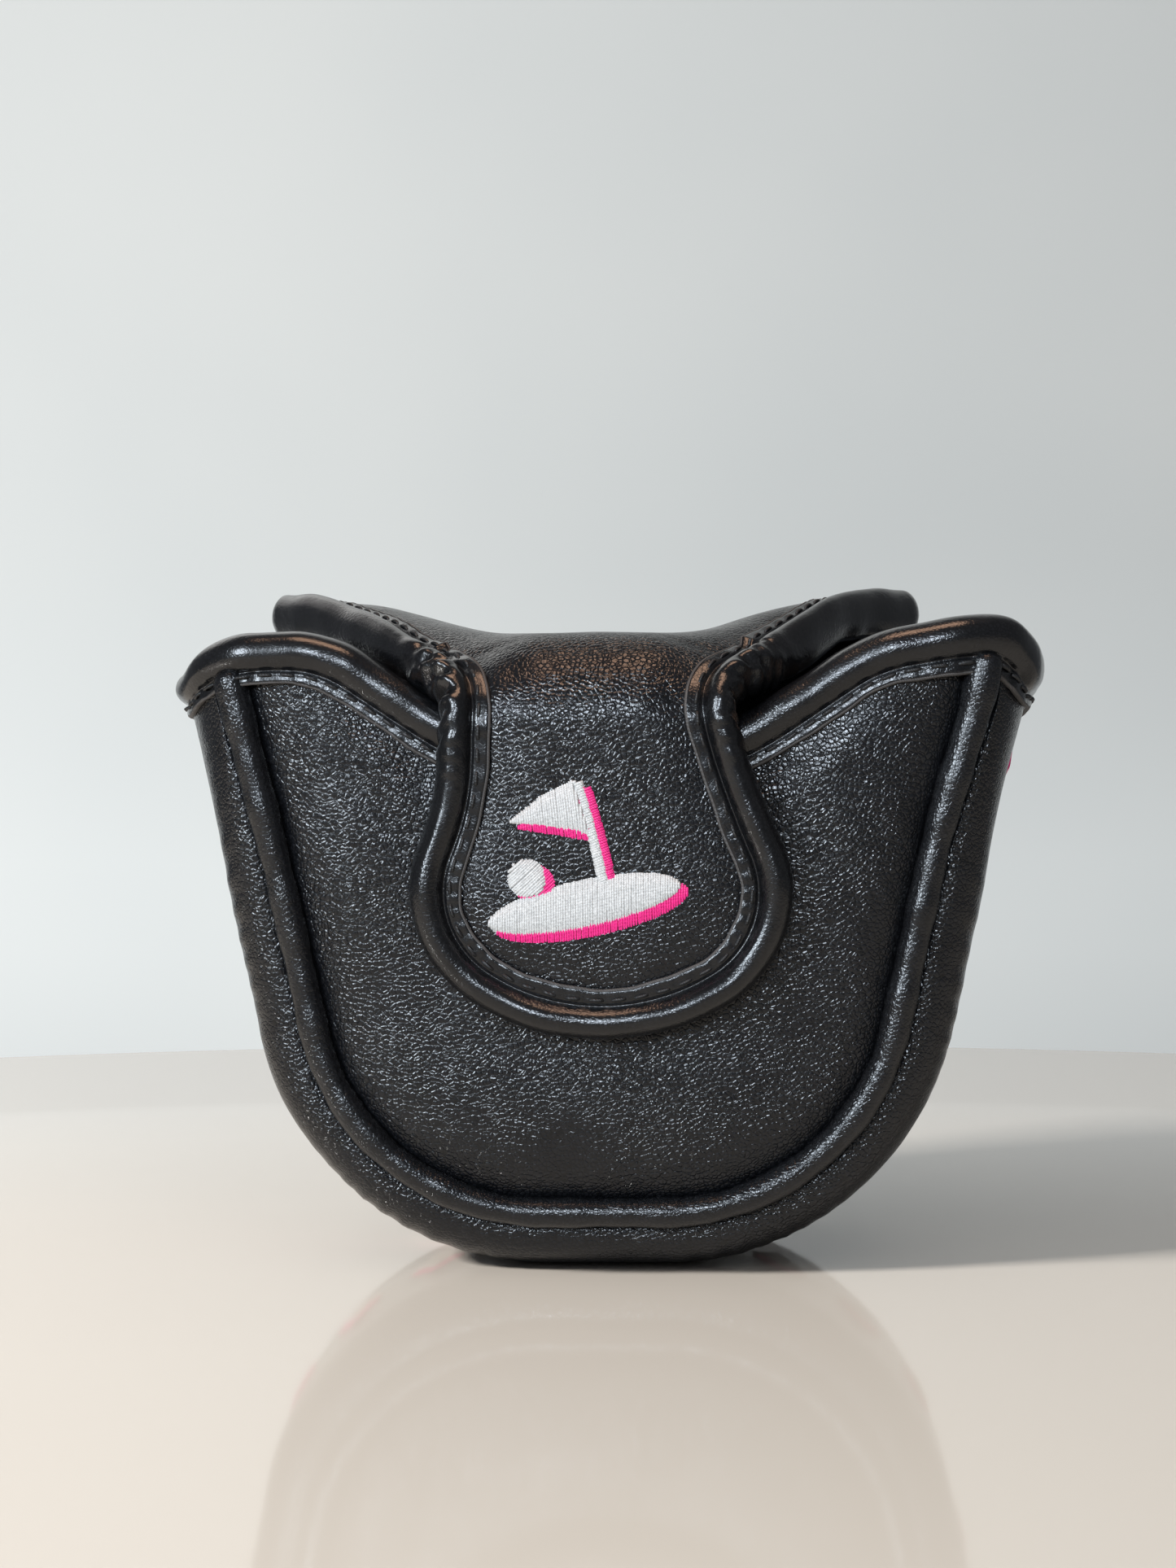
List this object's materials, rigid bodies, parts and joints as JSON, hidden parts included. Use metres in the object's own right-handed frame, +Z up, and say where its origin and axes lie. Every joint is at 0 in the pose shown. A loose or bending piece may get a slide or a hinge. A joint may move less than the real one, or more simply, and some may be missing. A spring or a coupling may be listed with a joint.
{
  "type": "putter head cover",
  "caption": "Black padded leather mallet putter cover with corded seams, a bound mouth and an embroidered magnetic fold-over flap.",
  "frame": {"origin": "centre of the flat foot under the gusset, at half the depth", "axes": "+X across the width to the viewer's right, -Y towards the front panel and tongue, +Z up out of the mouth"},
  "size_m": [0.1352, 0.0613, 0.1046],
  "materials": {
    "grained_leather": "satin",
    "smooth_leather": "gloss",
    "foam": "matte",
    "plush_lining": "matte",
    "magnet": "satin",
    "cord": "matte",
    "black_thread": "satin",
    "white_thread": "satin",
    "pink_thread": "satin"
  },
  "bodies": {
    "pouch": {"front_panel_leather": "grained_leather", "front_panel_foam": "foam", "front_panel_lining": "plush_lining", "front_magnets": "magnet", "back_panel_leather": "grained_leather", "back_panel_foam": "foam", "back_panel_lining": "plush_lining", "gusset_leather": "grained_leather", "gusset_foam": "foam", "gusset_lining": "plush_lining", "front_piping_wrap": "smooth_leather", "front_piping_cord": "cord", "back_piping_wrap": "smooth_leather", "back_piping_cord": "cord", "rim_binding": "smooth_leather", "rim_binding_cord": "cord", "rim_stitching": "black_thread", "gusset_motifs_white": "white_thread", "gusset_motifs_pink": "pink_thread"},
    "flap_bridge": {"bridge_leather": "grained_leather", "bridge_foam": "foam", "bridge_lining": "plush_lining", "bridge_binding": "smooth_leather", "bridge_binding_cord": "cord", "bridge_stitching": "black_thread"},
    "flap_tongue": {"tongue_leather": "grained_leather", "tongue_foam": "foam", "tongue_lining": "plush_lining", "tongue_binding": "smooth_leather", "tongue_binding_cord": "cord", "tongue_stitching": "black_thread", "flap_magnets": "magnet", "emblem_white": "white_thread", "emblem_pink": "pink_thread"}
  },
  "joints": [
    {"name": "back_fold", "type": "hinge", "parent": "pouch", "child": "flap_bridge", "pos_m": [0, 0.0265, 0.0862], "axis": [-1, 0, 0], "range_deg": [0, 110]},
    {"name": "neck_fold", "type": "hinge", "parent": "flap_bridge", "child": "flap_tongue", "pos_m": [0, -0.0345, 0.08], "axis": [-1, 0, 0], "range_deg": [0, 70]}
  ]
}
